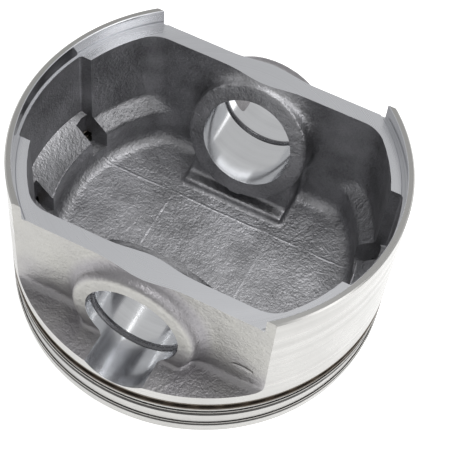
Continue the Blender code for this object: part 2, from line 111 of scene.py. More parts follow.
class FinishGraph:
    """The node tree of one material, with a single way to add any node."""

    def __init__(self, name: str) -> None:
        """Start a material with a Principled shader.

        Args:
            name: The material's name.
        """
        self.material = bpy.data.materials.new(name)
        self.material.use_nodes = True
        self.tree = self.material.node_tree
        self.shader = self.tree.nodes["Principled BSDF"]

    def node(
        self,
        kind: str,
        settings: dict[str, object] | None = None,
        inputs: dict[str | int, object] | None = None,
        output: str | int = 0,
    ) -> Wire:
        """Add a node.

        Args:
            kind: The node's type, such as ShaderNodeTexNoise.
            settings: Attributes to set first; "stops" fills a colour ramp.
            inputs: Socket names or numbers, with the wire or value of each.
            output: The socket to hand back.

        Returns:
            The wire from that output.
        """
        made = self.tree.nodes.new(kind)
        for name, value in (settings or {}).items():
            if name == "stops":
                self._fill_ramp(made, value)
            else:
                setattr(made, name, value)
        for key, value in (inputs or {}).items():
            self.feed(made.inputs[key], value)
        return Wire(self, made.outputs[output])

    @staticmethod
    def _fill_ramp(ramp: bpy.types.Node, stops: list[tuple[float, Colour]]) -> None:
        """Give a colour ramp its stops.

        Args:
            ramp: The ramp's node.
            stops: Each place from 0 to 1, with its colour.
        """
        elements = ramp.color_ramp.elements
        while len(elements) < len(stops):
            elements.new(0.5)
        for element, (place, colour) in zip(elements, stops):
            element.position = place
            element.color = (*colour, 1.0)

    def feed(self, socket: bpy.types.NodeSocket, value: object) -> None:
        """Link a wire to a socket, or set the socket's own value.

        Args:
            socket: The socket.
            value: A wire to link, or a value to set.
        """
        if isinstance(value, Wire):
            self.tree.links.new(value.socket, socket)
        else:
            socket.default_value = value

    def maths(self, operation: str, first: Wire | float, second: Wire | float = 0.0) -> Wire:
        """One Math node."""
        return self.node("ShaderNodeMath", {"operation": operation}, {0: first, 1: second})

    def place(self) -> Wire:
        """Where a point is on its own piece, in metres."""
        return self.node("ShaderNodeTexCoord", output="Object")

    def noise(self, grain: float, detail: float = 2.0, where: Wire | None = None) -> Wire:
        """Soft noise from 0 to 1.

        Args:
            grain: The size of one blob, in metres.
            detail: How many finer octaves are added.
            where: The coordinates; the piece's own by default.

        Returns:
            The noise.
        """
        inputs = {"Vector": where or self.place(), "Scale": 1.0 / grain, "Detail": detail}
        return self.node("ShaderNodeTexNoise", inputs=inputs)

    def ramp(self, value: Wire, low: float, high: float, start: float, end: float) -> Wire:
        """Map a range of values onto another, and hold it there."""
        inputs = {"Value": value, "From Min": low, "From Max": high, "To Min": start, "To Max": end}
        return self.node("ShaderNodeMapRange", {"clamp": True}, inputs)

    def mix(self, share: Wire | float, first: Wire | Colour, second: Wire | Colour) -> Wire:
        """Blend two colours.

        Args:
            share: How much of the second colour there is.
            first: The colour at nought.
            second: The colour at one.

        Returns:
            The blend.
        """
        made = self.tree.nodes.new("ShaderNodeMix")
        made.data_type = "RGBA"
        self.feed(made.inputs[0], share)
        for socket, value in ((made.inputs[6], first), (made.inputs[7], second)):
            self.feed(socket, value if isinstance(value, Wire) else (*value, 1.0))
        return Wire(self, made.outputs[2])

    def bump(self, height: Wire, depth: float) -> Wire:
        """Turn a height from 0 to 1 into a relief of the given depth in metres."""
        inputs = {"Height": height, "Distance": depth, "Strength": 1.0}
        return self.node("ShaderNodeBump", inputs=inputs)

    def split(self, where: Wire) -> tuple[Wire, Wire, Wire]:
        """The three coordinates of a point.

        Args:
            where: The point.

        Returns:
            Its x, y and z.
        """
        made = self.tree.nodes.new("ShaderNodeSeparateXYZ")
        self.feed(made.inputs[0], where)
        return tuple(Wire(self, out) for out in made.outputs)

    def surface(self, **sockets: object) -> bpy.types.Material:
        """Set the Principled shader's sockets and hand the material back.

        Args:
            sockets: Values or wires by socket name, with _ for each space.

        Returns:
            The finished material.
        """
        for name, value in sockets.items():
            self.feed(self.shader.inputs[name.replace("_", " ")], value)
        return self.material


# ---------------------------------------------------------------- finishes


@dataclass(frozen=True)
class CastSkin:
    """Aluminium as it came out of the mould: grainy, a little blotchy and dull.

    Below the fade heights it takes its dark colours, and above them its light ones: painted shade,
    darker towards the shoulder. With crease set, painted shade also darkens the crease round each
    outer boss. The seams are the ridges that the mould's core pieces leave on the crown's inside,
    drawn as bumps with a painted highlight along each.
    """

    name: str
    dark: Colour
    light: Colour
    roughness: float
    # fade: heights over which the painted shade gives way to the light colours
    fade: tuple[float, float] | None = None
    seams: bool = False
    # crease: painted shade round each outer boss
    crease: bool = False
    grain: float = 0.4 * MM
    grain_depth: float = 0.19 * MM
    seam_y: float = 11.0 * MM
    seam_x: float = -12.5 * MM
    seam_half: float = 0.4 * MM
    seam_top: float = 8.0 * MM
    pin_height: float = 23.0 * MM
    boss_edge: float = 12.7 * MM
    crease_end: float = 16.5 * MM
    crease_soft: float = 0.7 * MM
    blotch: float = 7 * MM
    fade_wander: float = 6 * MM
    seam_wander: float = 0.5 * MM

    def build(self) -> bpy.types.Material:
        """Make the material.

        Returns:
            The material.
        """
        graph = FinishGraph(self.name)
        blotch = graph.noise(self.blotch, 3.0)
        grain = graph.noise(self.grain, 3.0)
        inputs = {"Vector": graph.place(), "Scale": 1.0 / (self.grain * 1.7)}
        pebble = graph.node("ShaderNodeTexVoronoi", {"feature": "SMOOTH_F1"}, inputs)
        shade_of = graph.ramp(blotch * 0.6 + grain * 0.4, 0.35, 0.65, 0.0, 1.0)
        # painted shade: darker below the fade heights, towards the shoulder, and lighter above them
        if self.fade:
            height = graph.split(graph.place())[2] + (blotch - 0.5) * self.fade_wander
            shade_of = shade_of * 0.3 + graph.ramp(height, *self.fade, 0.0, 0.7)
        # painted shade: the crease round each outer boss is pulled towards the dark colour
        if self.crease:
            shade_of = shade_of * (1 - self._crease_shade(graph) * 0.95)
        relief = grain * 0.55 + pebble * 0.35 + graph.noise(self.grain * 3.4, 1.0) * 0.4
        if self.seams:
            seam = self._seams(graph, blotch)
            relief = relief + seam * 0.5
            # painted highlight: each seam is also drawn lighter, as if light caught its ridge; the
            # ridge itself is the bump above
            shade_of = shade_of + seam
        return graph.surface(
            Base_Color=graph.mix(shade_of, self.dark, self.light),
            Metallic=1.0,
            Roughness=graph.ramp(grain, 0.3, 0.7, self.roughness - 0.1, self.roughness + 0.1),
            Normal=graph.bump(relief, self.grain_depth),
        )

    def _seams(self, graph: FinishGraph, blotch: Wire) -> Wire:
        """Where the seams run: one along the pin's side of the crown and two across it.

        Args:
            graph: The material's graph.
            blotch: Soft noise that makes the seams wander and fade.

        Returns:
            One on a seam and nought elsewhere.
        """
        x, y, z = graph.split(graph.place())
        wander = (blotch - 0.5) * self.seam_wander
        along = self._line(graph, y - self.seam_y + wander)
        left = self._line(graph, x - self.seam_x + wander)
        right = self._line(graph, x - self.seam_x * -0.9 + wander)
        inside = graph.maths("LESS_THAN", y, self.seam_y)
        low = graph.maths("LESS_THAN", z, self.seam_top)
        cross = graph.maths("MAXIMUM", left, right) * inside * 0.5
        return graph.maths("MAXIMUM", along, cross) * low * graph.ramp(blotch, 0.4, 0.55, 0.3, 1.0)

    def _crease_shade(self, graph: FinishGraph) -> Wire:
        """Painted shade in the crease round an outer boss, where shadow falls between boss and
        wall.

        Args:
            graph: The material's graph.

        Returns:
            One in the crease and nought elsewhere.
        """
        x, _, z = graph.split(graph.place())
        up = z - self.pin_height
        reach = graph.maths("SQRT", x * x + up * up)
        middle = (self.boss_edge + self.crease_end) / 2
        inner = graph.ramp(reach, self.boss_edge, self.boss_edge + self.crease_soft, 0.0, 1.0)
        return inner * graph.ramp(reach, middle, self.crease_end, 1.0, 0.0)

    def _line(self, graph: FinishGraph, offset: Wire) -> Wire:
        """One where an offset is nought, falling to nought at the seam's half width."""
        return graph.ramp(graph.maths("ABSOLUTE", offset), 0.0, self.seam_half, 1.0, 0.0)


@dataclass(frozen=True)
class ToolMarks:
    """Cut metal whose fine tool marks run round an axis, or round the centre of a face."""

    name: str
    colour: Colour
    roughness: float
    pitch: float
    depth: float
    across: str = "height"
    band: int = 9
    cloud: float = 11 * MM

    def build(self) -> bpy.types.Material:
        """Make the material.

        Returns:
            The material.
        """
        graph = FinishGraph(self.name)
        x, y, z = graph.split(graph.place())
        along = {"height": z, "pin": y, "radius": self._radius(graph, x, y)}[self.across]
        line = {"W": along, "Scale": 1.0 / self.pitch, "Detail": 2.0}
        lines = graph.node("ShaderNodeTexNoise", {"noise_dimensions": "1D"}, line)
        band = {"W": along, "Scale": 1.0 / (self.pitch * self.band), "Detail": 1.0}
        bands = graph.node("ShaderNodeTexNoise", {"noise_dimensions": "1D"}, band)
        cloud = graph.noise(self.cloud, 2.0)
        tone = lines * 0.25 + bands * 0.35 + cloud * 0.4
        dull = tuple(0.86 * c for c in self.colour)
        colour = graph.mix(graph.ramp(tone, 0.35, 0.65, 0.0, 1.0), dull, self.colour)
        return graph.surface(
            Base_Color=colour,
            Metallic=1.0,
            Roughness=graph.ramp(tone, 0.35, 0.65, self.roughness * 1.2, self.roughness * 0.8),
            Normal=graph.bump(lines, self.depth),
        )

    @staticmethod
    def _radius(graph: FinishGraph, x: Wire, y: Wire) -> Wire:
        """Distance from the piston's axis."""
        return graph.maths("SQRT", x * x + y * y)


@dataclass(frozen=True)
class DarkSteel:
    """Phosphated iron or oiled spring steel, worn to bare metal where it rubs."""

    name: str
    colour: Colour
    worn: Colour
    roughness: float
    metallic: float = 0.85
    cloud: float = 5 * MM
    speck: float = 1.1 * MM
    pitting: float = 0.004 * MM

    def build(self) -> bpy.types.Material:
        """Make the material.

        Returns:
            The material.
        """
        graph = FinishGraph(self.name)
        cloud = graph.noise(self.cloud, 3.0)
        speck = graph.noise(self.speck, 2.0)
        rubbed = graph.ramp(cloud * 0.7 + speck * 0.3, 0.52, 0.72, 0.0, 0.5)
        return graph.surface(
            Base_Color=graph.mix(rubbed, self.colour, self.worn),
            Metallic=self.metallic,
            Roughness=graph.ramp(speck, 0.3, 0.7, self.roughness - 0.08, self.roughness + 0.08),
            Normal=graph.bump(speck, self.pitting),
        )


@dataclass(frozen=True)
class Finishes:
    """Every finish on the piston, made once and shared by its pieces."""

    # the cavity's seams carry a painted highlight
    cavity: CastSkin = CastSkin(
        "cast_cavity_with_painted_seam_highlight", (0.27, 0.27, 0.28), (0.52, 0.52, 0.54), 0.42, seams=True
    )
    outside: CastSkin = CastSkin(
        "cast_outside_with_painted_shade",
        (0.33, 0.32, 0.335),
        (0.47, 0.465, 0.44),
        0.46,
        # painted shade below 16 mm, giving way to the light colours by 25 mm
        fade=(16 * MM, 25 * MM),
        # painted shade in the crease round each outer boss
        crease=True,
    )
    skirt: ToolMarks = ToolMarks("turned_skirt", (0.53, 0.525, 0.51), 0.3, 0.25 * MM, 0.002 * MM)
    lip: ToolMarks = ToolMarks("turned_lip", (0.66, 0.665, 0.68), 0.12, 0.4 * MM, 0.001 * MM)
    face: ToolMarks = ToolMarks(
        "faced_rim", (0.77, 0.78, 0.81), 0.3, 0.3 * MM, 0.002 * MM, "radius"
    )
    bore: ToolMarks = ToolMarks(
        "bored_pin_hole", (0.84, 0.85, 0.87), 0.16, 0.3 * MM, 0.002 * MM, "pin"
    )
    # painted shade: the compression rings are near black, partly their phosphate and partly
    # standing in for the shade inside empty ring grooves
    ring: DarkSteel = DarkSteel("phosphate_and_painted_groove_shade", (0.02, 0.018, 0.016), (0.05, 0.045, 0.04), 0.42)
    # lighter outer corners, which narrow each ring's painted shade to a thin dark line
    ring_edge: DarkSteel = DarkSteel(
        "lighter_ring_edge", (0.48, 0.47, 0.45), (0.56, 0.55, 0.53), 0.3
    )
    # painted shade: the oil rails are dark brown-grey, standing in for the shade in the oil groove
    rail: DarkSteel = DarkSteel("rail_with_painted_groove_shade", (0.15, 0.13, 0.11), (0.3, 0.27, 0.24), 0.38)
    # painted light: the expander is a pale brown, raised to offset the shade it sits in deep in the
    # oil groove
    crimp: DarkSteel = DarkSteel("expander_with_painted_light", (0.5, 0.43, 0.36), (0.6, 0.53, 0.46), 0.4)
    clip: DarkSteel = DarkSteel("oiled_spring_wire", (0.17, 0.17, 0.18), (0.34, 0.34, 0.35), 0.28)


# ---------------------------------------------------------------- mesh making


def arc(centre: Point, radius: float, start: float, end: float, steps: int) -> list[Point]:
    """Points along an arc with both ends.

    Args:
        centre: The arc's centre.
        radius: Its radius.
        start: The first point's angle, in degrees.
        end: The last point's angle, in degrees.
        steps: How many chords it has.

    Returns:
        The points in order.
    """
    angles = (math.radians(start + (end - start) * step / steps) for step in range(steps + 1))
    return [(centre[0] + radius * math.cos(a), centre[1] + radius * math.sin(a)) for a in angles]


def object_of(name: str, bm: bmesh.types.BMesh) -> bpy.types.Object:
    """Close a bmesh into an object with its faces pointing out.

    Args:
        name: The object's name.
        bm: The bmesh, which is freed.

    Returns:
        The object, linked to the scene.
    """
    bmesh.ops.remove_doubles(bm, verts=bm.verts, dist=WELD)
    bmesh.ops.recalc_face_normals(bm, faces=bm.faces)
    mesh = bpy.data.meshes.new(name)
    bm.to_mesh(mesh)
    bm.free()
    made = bpy.data.objects.new(name, mesh)
    bpy.context.scene.collection.objects.link(made)
    return made


def turned(
    name: str, profile: list[Point], segments: int, axis: Axis = Axis.CYLINDER
) -> bpy.types.Object:
    """Spin a closed (radius, height) profile into a solid.

    Args:
        name: The object's name.
        profile: The outline, closed, with radius 0 on the axis.
        segments: How many steps go round.
        axis: The axis that it goes round.

    Returns:
        The solid.
    """
    bm = bmesh.new()
    rings = []
    for step in range(segments):
        angle = 2 * math.pi * step / segments
        side, front = math.cos(angle), math.sin(angle)
        rings.append([bm.verts.new((r * side, r * front, h)) for r, h in profile])
    for step, ring in enumerate(rings):
        following = rings[(step + 1) % segments]
        for point, (radius, _) in enumerate(profile):
            after = (point + 1) % len(profile)
            if radius == 0 and profile[after][0] == 0:
                continue
            bm.faces.new((ring[point], following[point], following[after], ring[after]))
    if axis is Axis.PIN:
        bmesh.ops.transform(bm, matrix=Matrix.Rotation(-math.pi / 2, 4, "X"), verts=bm.verts)
    return object_of(name, bm)


def prism_along_x(name: str, outline: list[Point], half_length: float) -> bpy.types.Object:
    """Extrude a (y, z) outline along X to both sides.

    Args:
        name: The object's name.
        outline: The outline's points, once round.
        half_length: How far it reaches to each side.

    Returns:
        The solid.
    """
    bm = bmesh.new()
    ends = [[bm.verts.new((x, y, z)) for y, z in outline] for x in (-half_length, half_length)]
    for point in range(len(outline)):
        after = (point + 1) % len(outline)
        bm.faces.new((ends[0][point], ends[0][after], ends[1][after], ends[1][point]))
    bm.faces.new(ends[0])
    bm.faces.new(ends[1])
    return object_of(name, bm)


def loft(name: str, sections: list[tuple[float, list[Point]]]) -> bpy.types.Object:
    """Skin outlines of equal length, stacked along Z.

    Args:
        name: The object's name.
        sections: The height of each outline, with its (x, y) points.

    Returns:
        The solid.
    """
    bm = bmesh.new()
    loops = [[bm.verts.new((x, y, z)) for x, y in outline] for z, outline in sections]
    for lower, upper in zip(loops, loops[1:]):
        for point in range(len(lower)):
            after = (point + 1) % len(lower)
            bm.faces.new((lower[point], lower[after], upper[after], upper[point]))
    bm.faces.new(loops[0])
    bm.faces.new(loops[-1])
    return object_of(name, bm)


def block(name: str, low: Vector, high: Vector) -> bpy.types.Object:
    """A box between two corners, used only as a step on the way to a casting.

    Args:
        name: The object's name.
        low: The corner with the least of each coordinate.
        high: The opposite corner.

    Returns:
        The solid.
    """
    bm = bmesh.new()
    bmesh.ops.create_cube(bm, size=1.0)
    size = high - low
    matrix = Matrix.Translation((low + high) / 2) @ Matrix.Diagonal((*size, 1))
    bmesh.ops.transform(bm, matrix=matrix, verts=bm.verts)
    return object_of(name, bm)


def barrel(radius: float, half_width: float, corner: float, steps: int) -> list[Point]:
    """The outline of a circle cut by two flats across Y, with its corners rounded.

    Args:
        radius: The circle's radius.
        half_width: How far each flat is from the centre.
        corner: The radius of the four corners.
        steps: How many chords each of its arcs has.

    Returns:
        The outline's points, once round.
    """
    corner_y = half_width - corner
    corner_x = math.sqrt((radius - corner) ** 2 - corner_y**2)
    turn = math.degrees(math.atan2(corner_y, corner_x))
    quarter = arc((0, 0), radius, 0, turn, steps)[:-1]
    quarter += arc((corner_x, corner_y), corner, turn, 90, steps)
    points = list(quarter)
    points += [(-x, y) for x, y in reversed(quarter)][:-1]
    points += [(-x, -y) for x, y in quarter]
    points += [(x, -y) for x, y in reversed(quarter)][:-1]
    return points


def bake(target: bpy.types.Object) -> None:
    """Apply every modifier of an object to its mesh.

    Args:
        target: The object.
    """
    graph = bpy.context.evaluated_depsgraph_get()
    mesh = bpy.data.meshes.new_from_object(target.evaluated_get(graph), depsgraph=graph)
    target.modifiers.clear()
    old = target.data
    target.data = mesh
    bpy.data.meshes.remove(old)


def use_tool(target: bpy.types.Object, tool: bpy.types.Object, cut: Cut) -> None:
    """Work a solid with a tool, and put the tool away.

    Args:
        target: The solid.
        tool: The tool, whose material goes onto the faces it leaves.
        cut: What the tool does.
    """
    modifier = target.modifiers.new(cut.name.lower(), "BOOLEAN")
    modifier.operation = cut.value
    modifier.solver = "EXACT"
    modifier.material_mode = "TRANSFER"
    modifier.object = tool
    bake(target)
    bpy.data.objects.remove(tool, do_unlink=True)


def dress(target: bpy.types.Object, material: bpy.types.Material) -> bpy.types.Object:
    """Give an object one material and hand it back.

    Args:
        target: The object.
        material: The material.

    Returns:
        The same object.
    """
    target.data.materials.clear()
    target.data.materials.append(material)
    return target


def shade(target: bpy.types.Object, angle: float = 35.0) -> None:
    """Shade an object smooth between its sharp edges and the borders of its finishes.

    Args:
        target: The object.
        angle: The angle in degrees from which an edge is sharp.
    """
    target.data.shade_smooth()
    target.data.set_sharp_from_angle(angle=math.radians(angle))
    bm = bmesh.new()
    bm.from_mesh(target.data)
    for edge in bm.edges:
        if len({face.material_index for face in edge.link_faces}) > 1:
            edge.smooth = False
    bm.to_mesh(target.data)
    bm.free()


# ---------------------------------------------------------------- the casting


@dataclass
class PistonCasting:
    """The piston itself: cast rough, then turned, faced and bored."""

    finishes: Finishes
    height: float = field(init=False)
    skirt_radius: float = field(init=False)
    pin_height: float = field(init=False)
    land_step: float = 0.31 * MM
    crown_chamfer: float = 0.5 * MM
    skirt_lead_in: float = 0.3 * MM
    groove_root: float = 36.25 * MM
    groove_play: float = 0.05 * MM
    shoulder: float = 15.1 * MM
    shoulder_fillet: float = 1.6 * MM
    flat_outer: float = 28.9 * MM
    flat_inner: float = 25.3 * MM
    skirt_wall: float = 4.1 * MM
    register_depth: float = 3.7 * MM
    register_lip: float = 1.35 * MM
    relief_width: float = 0.7 * MM
    relief_depth: float = 0.2 * MM
    crown_thickness: float = 6.5 * MM
    belt_radius: float = 32.65 * MM
    belt_half: float = 24.5 * MM
    floor_fillet: float = 3.0 * MM
    corner: float = 6.5 * MM
    belt_step: float = 14.5 * MM
    belt_step_rise: float = 3.6 * MM
    pocket_half: float = 12.1 * MM
    pocket_wall: float = 1.65 * MM
    pocket_pad_low: Point = (33.0 * MM, 14.5 * MM)
    pocket_pad_high: Point = (36.2 * MM, 18.1 * MM)
    pocket_foot_rise: float = 0.9 * MM
    notch_y: float = 10.4 * MM
    notch_half: float = 2.0 * MM
    notch_floor: float = 10.0 * MM
    notch_top: float = 18.5 * MM
    notch_depth: float = 35.6 * MM
    bore_radius: float = 10.0 * MM
    boss_radius: float = 13.5 * MM
    boss_face: float = 32.3 * MM
    boss_inner_face: float = 19.0 * MM
    boss_draft: float = 0.284
    boss_rounding: float = 1.1 * MM
    boss_flare: float = 3.4 * MM
    boss_root: float = 2.04 * MM
    web_half: float = 11.8 * MM
    web_set_back: float = 1.4 * MM
    inner_web_set_back: float = 3.0 * MM
    foot_height: float = 1.3 * MM
    trough_step: float = 0.15 * MM
    clip_groove_depth: float = 0.85 * MM
    clip_groove_play: float = 0.06 * MM
    pad_centre: Point = (22.5 * MM, 20.3 * MM)
    pad_half: Point = (2.4 * MM, 0.95 * MM)
    pad_height: float = 0.3 * MM
    drain_radius: float = 0.95 * MM
    drain_angles: tuple[float, ...] = (17.0, 163.0, 197.0, 343.0)
    voxel: float = 0.4 * MM
    smoothing: int = 4
    past: float = 3.0 * MM
    round_steps: int = 384
    bore_steps: int = 192
    boss_steps: int = 72
    trim_steps: int = 96
    arc_steps: int = 6
    corner_steps: int = 10
    pocket_rounding: float = 0.7 * MM
    pocket_steps: int = 8
    groove_edge: float = 0.08 * MM
    lip_edge: float = 0.15 * MM
    bore_edge: float = 0.2 * MM
    wave: float = 0.05 * MM
    wave_length: float = 6 * MM
    ripple: float = 0.035 * MM
    ripple_length: float = 1.3 * MM
    pad_bevel: float = 0.15
    height_slack: float = 0.01

    def __post_init__(self) -> None:
        """Read the overall sizes from the working model."""
        low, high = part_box("piston_casting")
        self.height = high[2]
        self.skirt_radius = (high[0] - low[0]) / 2
        self.pin_height = next(
            joint["pos_m"][2] for joint in frame["joints"] if joint["child"] == "left_circlip"
        )

    def grooves(self) -> list[tuple[float, float]]:
        """Each ring groove's lower and upper face, crown side first.

        Returns:
            The pair of heights for each of the three grooves.
        """
        packs = (
            ("top_compression_ring", "top_compression_ring"),
            ("second_compression_ring", "second_compression_ring"),
            ("oil_ring_lower_rail", "oil_ring_upper_rail"),
        )
        return [
            (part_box(first)[0][2] - self.groove_play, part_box(last)[1][2] + self.groove_play)
            for first, last in packs
        ]

    def blank(self) -> bpy.types.Object:
        """Belt and walls before any machining, with metal left on for the cuts.

        Returns:
            The blank.
        """
        side = self.skirt_radius + self.past
        top = self.height + self.past
        fillet = self.shoulder_fillet
        centre = (self.flat_outer + fillet, self.shoulder + fillet)
        half = [(self.flat_outer, top), *arc(centre, fillet, 180, 270, self.arc_steps)]
        half += [(side, self.shoulder), (side, -self.past)]
        body = prism_along_x("casting", half + [(-y, z) for y, z in reversed(half)], side)
        for sign in (1, -1):
            use_tool(body, self.outer_boss(sign), Cut.JOIN)
            use_tool(body, self.outer_web(sign), Cut.JOIN)
        profile = [(0, -side), (side, -side), (side, side * 2), (0, side * 2)]
        trim = turned("trim", profile, self.trim_steps)
        use_tool(body, trim, Cut.KEEP_INSIDE)
        return body

    def boss_profile(self, start: float, end: float) -> list[Point]:
        """A boss in (radius, |y|), flared where it meets the wall and rounded at both faces.

        Args:
            start: Where it starts, as |y|.
            end: Where its face is, as |y|.

        Returns:
            The profile's points.
        """
        radius, rounding = self.boss_radius, self.boss_rounding
        steps = [math.radians(15 * step) for step in range(7)]
        bend = [
            (radius + self.boss_flare * (1 - math.sin(t)), self.boss_root * (1 - math.cos(t)))
            for t in steps
        ]
        flare_in = [(r, self.flat_inner - y) for r, y in reversed(bend)]
        flare_out = [(r, self.flat_outer + y) for r, y in bend]
        rim = arc((radius - rounding, end - rounding), rounding, 0, 90, 5)
        if start < flare_in[0][1]:
            first = [(0, start), (radius, start), *flare_in]
        else:
            first = [(0, start), (radius + self.boss_flare, start)]
        return [*first, *flare_out, *rim, (0, end)]

    def boss(self, name: str, sign: int, start: float) -> bpy.types.Object:
        """One boss from a distance |y| = start out to its face.

        Args:
            name: The object's name.
            sign: 1 for the +Y side and -1 for the other.
            start: Where it starts, as |y|.

        Returns:
            The boss.
        """
        profile = [(r, sign * y) for r, y in self.boss_profile(start, self.boss_face)]
        made = turned(name, profile, self.boss_steps, Axis.PIN)
        made.data.transform(Matrix.Translation((0, 0, self.pin_height)))
        return made

    def outer_boss(self, sign: int) -> bpy.types.Object:
        """The part of a boss that stands out of the flat wall."""
        return self.boss("outer_boss", sign, self.flat_inner + 0.5 * MM)

    def outer_web(self, sign: int) -> bpy.types.Object:
        """The metal between an outer boss and the shoulder under it.

        Args:
            sign: 1 for the +Y side and -1 for the other.

        Returns:
            The web.
        """
        near, far = self.flat_inner + 1 * MM, self.boss_face - self.web_set_back
        low, high = sorted((sign * near, sign * far))
        return block(
            "outer_web",
            Vector((-self.web_half, low, self.shoulder - self.past)),
            Vector((self.web_half, high, self.pin_height)),
        )

    def core(self) -> bpy.types.Object:
        """The hollow as the mould's core, less the two inner bosses.

        Returns:
            The core.
        """
        steps = self.corner_steps
        sections = []
        for step in range(self.arc_steps + 1):
            angle = math.pi / 2 * step / self.arc_steps
            inset = self.floor_fillet * (1 - math.sin(angle))
            height = self.crown_thickness + self.floor_fillet * (1 - math.cos(angle))
            outline = barrel(
                self.belt_radius - inset, self.belt_half - inset, self.corner - inset / 2, steps
            )
            sections.append((height, outline))
        belt = barrel(self.belt_radius, self.belt_half, self.corner, steps)
        wide_radius = self.skirt_radius - self.skirt_wall
        wide = barrel(wide_radius, self.flat_inner, self.corner, steps)
        sections.append((self.belt_step, belt))
        sections.append((self.belt_step + self.belt_step_rise, wide))
        sections.append((self.height + 2 * self.past, wide))
        core = loft("core", sections)
        for sign in (1, -1):
            use_tool(core, self.inner_boss(sign), Cut.REMOVE)
        return core

    def inner_boss(self, sign: int) -> bpy.types.Object:
        """A boss inside the hollow with the web that carries it, and its drafted face.

        Args:
            sign: 1 for the +Y side and -1 for the other.

        Returns:
            The boss and its web as one solid.
        """
        reach = self.boss_inner_face - self.boss_draft * self.pin_height
        boss = self.boss("inner_boss", sign, reach)
        use_tool(boss, self.boss_gap(0.0), Cut.REMOVE)
        low, high = sorted((sign * reach, sign * self.flat_outer))
        floor = self.crown_thickness - self.past
        parts = (
            (self.pin_height, self.inner_web_set_back),
            (self.crown_thickness + self.foot_height, 0.0),
        )
        for top, set_back in parts:
            web = block(
                "inner_web",
                Vector((-self.web_half, low, floor)),
                Vector((self.web_half, high, top)),
            )
            use_tool(web, self.boss_gap(set_back), Cut.REMOVE)
            use_tool(boss, web, Cut.JOIN)
        return boss

    def boss_gap(self, set_back: float) -> bpy.types.Object:
        """The wedge between the drafted inner faces, or that far behind them.

        Args:
            set_back: How far behind the inner faces its sides are.

        Returns:
            The wedge.
        """
        floor, top = self.crown_thickness - 2 * self.past, self.height + self.past
        low_y, high_y = (
            self.boss_inner_face + set_back + self.boss_draft * (z - self.pin_height)
            for z in (floor, top)
        )
        wedge = [(-low_y, floor), (low_y, floor), (high_y, top), (-high_y, top)]
        return prism_along_x("gap", wedge, self.skirt_radius)

    def pockets(self) -> bpy.types.Object:
        """The thinned pockets behind both thrust faces, as one bar across the hollow.

        Returns:
            The tool that clears both pockets.
        """
        radius = self.skirt_radius - self.pocket_wall
        shape = (self.pocket_half, self.pocket_rounding, self.pocket_steps)
        pad = (self.pocket_pad_low, self.pocket_pad_high)
        sections = [(z, barrel(r, *shape)) for r, z in pad]
        full = barrel(radius, *shape)
        sections.append((self.pocket_pad_high[1] + self.pocket_foot_rise, full))
        sections.append((self.height + 2 * self.past, full))
        return loft("pockets", sections)

    def notches(self) -> list[bpy.types.Object]:
        """The notches in the belt's pads that the oil drains open into.

        Returns:
            The tools, one for each notch.
        """
        inner, outer = self.belt_radius - self.past, self.notch_depth
        return [
            block(
                "notch",
                Vector((min(side * inner, side * outer), y - self.notch_half, self.notch_floor)),
                Vector((max(side * inner, side * outer), y + self.notch_half, self.notch_top)),
            )
            for side in (1, -1)
            for y in (self.notch_y, -self.notch_y)
        ]

    def weather(self, body: bpy.types.Object) -> None:
        """Even the blank out as a casting: soft edges and a slightly wavy skin.

        Args:
            body: The blank, less its core.
        """
        remesh = body.modifiers.new("skin", "REMESH")
        remesh.mode = "VOXEL"
        remesh.voxel_size = self.voxel
        smooth = body.modifiers.new("soft_edges", "SMOOTH")
        smooth.factor = 0.5
        smooth.iterations = self.smoothing
        bake(body)
        places = [vertex.co.copy() for vertex in body.data.vertices]
        normals = [vertex.vector.copy() for vertex in body.data.vertex_normals]
        moved = []
        for place, normal in zip(places, normals):
            wave = self.wave * noise.noise(place / self.wave_length)
            shift = wave + self.ripple * noise.noise(place / self.ripple_length)
            moved.extend(place + normal * shift)
        body.data.vertices.foreach_set("co", moved)
        body.data.update()

    def turning(self) -> bpy.types.Object:
        """Everything inside the finished outside: crown, lands, grooves, skirt and rim.

        Returns:
            The solid to keep the inside of.
        """
        land = self.skirt_radius - self.land_step
        profile = [(0, 0), (land - self.crown_chamfer, 0), (land, self.crown_chamfer)]
        for index, (low, high) in enumerate(self.grooves()):
            after = self.skirt_radius if index == 2 else land
            edge = self.groove_edge
            profile += [(land, low - edge), (land - edge, low), (self.groove_root, low)]
            profile += [(self.groove_root, high), (after - edge, high), (after, high + edge)]
        profile += [
            (self.skirt_radius, self.height - self.skirt_lead_in),
            (self.skirt_radius - self.skirt_lead_in, self.height),
            (0, self.height),
        ]
        return dress(turned("turning", profile, self.round_steps), self.finishes.skirt.build())

    def register(self) -> bpy.types.Object:
        """The recess turned inside the skirt's rim, with the relief in its corner.

        Returns:
            The tool, with the faced and the turned finish on its faces.
        """
        seat = self.height - self.register_depth
        wall = self.skirt_radius - self.register_lip
        relief = wall - self.relief_width
        top = self.height + 2 * self.past
        profile = [
            (0, seat),
            (relief, seat),
            (relief + self.relief_depth, seat - self.relief_depth),
            (wall, seat - self.relief_depth),
            (wall, self.height - self.lip_edge),
            (wall + self.lip_edge, self.height),
            (wall + self.lip_edge, top),
            (0, top),
        ]
        tool = dress(turned("register", profile, self.round_steps), self.finishes.face.build())
        tool.data.materials.append(self.finishes.lip.build())
        for face in tool.data.polygons:
            face.material_index = int(abs(face.normal.z) < 0.5)
        return tool

